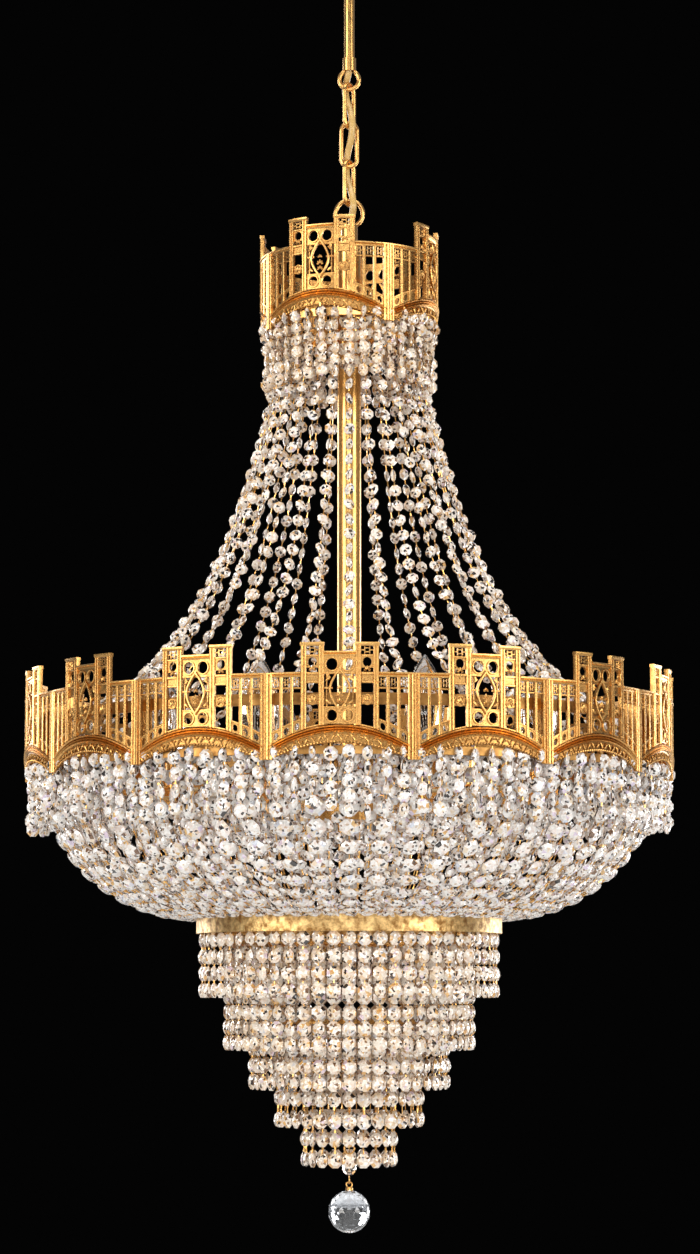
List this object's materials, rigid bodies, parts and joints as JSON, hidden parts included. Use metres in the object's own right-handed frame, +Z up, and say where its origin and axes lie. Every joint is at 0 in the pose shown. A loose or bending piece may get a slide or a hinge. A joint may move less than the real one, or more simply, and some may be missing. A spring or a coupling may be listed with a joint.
{
  "type": "crystal chandelier",
  "caption": "Ceiling-hung crystal chandelier with pierced gilt crowns, swept bead strands, a beaded basket, stepped bead tiers, candle lamps and a faceted drop.",
  "frame": {"origin": "on the ceiling plane, midway between the bracket's two screw holes, on the chandelier's axis", "axes": "+Z up into the ceiling, -Y towards the viewer of the picture, +X to the viewer's right, along the bracket"},
  "size_m": [0.6043, 0.6035, 1.2331],
  "materials": {
    "gilt_brass": "polished gold plate",
    "crystal": "cut and polished clear crystal",
    "bulb_glass": "thin clear glass",
    "zinc_steel": "zinc plated",
    "cord_jacket": "clear jacket over gold-coloured wires",
    "terminal_block": "plain",
    "lead_sleeve": "woven sleeve"
  },
  "bodies": {
    "ceiling_mount": {"ceiling_bracket": "zinc_steel", "stem_tube": "gilt_brass", "stem_nut": "zinc_steel", "stem_loop": "gilt_brass", "power_cord": "cord_jacket"},
    "canopy": {"ceiling_canopy": "gilt_brass", "canopy_grip_ring": "gilt_brass", "canopy_grip_screw": "zinc_steel"},
    "link_1": {"chain_link_1": "gilt_brass"},
    "link_2": {"chain_link_2": "gilt_brass"},
    "link_3": {"chain_link_3": "gilt_brass"},
    "chandelier": {"top_loop": "gilt_brass", "upper_column": "gilt_brass", "centre_column": "gilt_brass", "top_hoop": "gilt_brass", "top_spider": "gilt_brass", "top_crown_panels": "gilt_brass", "crown_panels": "gilt_brass", "lower_hoop": "gilt_brass", "inner_hoop": "gilt_brass", "frame_posts": "gilt_brass", "hub": "gilt_brass", "hub_cover": "gilt_brass", "lamp_spokes": "gilt_brass", "drip_pans": "gilt_brass", "lamp_holders": "gilt_brass", "basket_ring": "gilt_brass", "tier_ring_2": "gilt_brass", "tier_ring_3": "gilt_brass", "tier_ring_4": "gilt_brass", "tier_ring_5": "gilt_brass", "finial": "gilt_brass", "top_fringe": "crystal", "upper_garlands": "crystal", "main_fringe": "crystal", "basket_strands": "crystal", "tier_strands_1": "crystal", "tier_strands_2": "crystal", "tier_strands_3": "crystal", "tier_strands_4": "crystal", "tier_strands_5": "crystal", "centre_rod": "zinc_steel", "lower_rod": "zinc_steel", "rod_nuts": "zinc_steel", "candle_bulbs": "bulb_glass", "terminal_block": "terminal_block", "lamp_leads": "lead_sleeve"},
    "drop_bead_body": {"drop_rings": "gilt_brass", "drop_bead": "crystal"},
    "drop_ball_body": {"drop_cap": "gilt_brass", "drop_ball": "crystal"}
  },
  "joints": [
    {"name": "canopy_slide", "type": "slide", "parent": "ceiling_mount", "child": "canopy", "axis": [0, 0, -1], "range_m": [0, 0.07]},
    {"name": "link_1_swing", "type": "hinge", "parent": "ceiling_mount", "child": "link_1", "pos_m": [0, 0, -0.1513], "axis": [1, 0, 0], "range_deg": [-10, 10], "deforming": ["power_cord"]},
    {"name": "link_2_swing", "type": "hinge", "parent": "link_1", "child": "link_2", "pos_m": [0, 0, -0.1894], "axis": [0.5736, 0.8192, 0], "range_deg": [-10, 10]},
    {"name": "link_3_swing", "type": "hinge", "parent": "link_2", "child": "link_3", "pos_m": [0, 0, -0.2275], "axis": [1, 0, 0], "range_deg": [-10, 10]},
    {"name": "chandelier_swing", "type": "hinge", "parent": "link_3", "child": "chandelier", "pos_m": [0, 0, -0.2656], "axis": [0.5736, 0.8192, 0], "range_deg": [-10, 10]},
    {"name": "drop_bead_swing", "type": "hinge", "parent": "chandelier", "child": "drop_bead_body", "pos_m": [0, 0, -1.1612], "axis": [1, 0, 0], "range_deg": [-25, 25]},
    {"name": "drop_ball_swing", "type": "hinge", "parent": "drop_bead_body", "child": "drop_ball_body", "pos_m": [0, 0, -1.18823], "axis": [0, 1, 0], "range_deg": [-25, 25]}
  ]
}
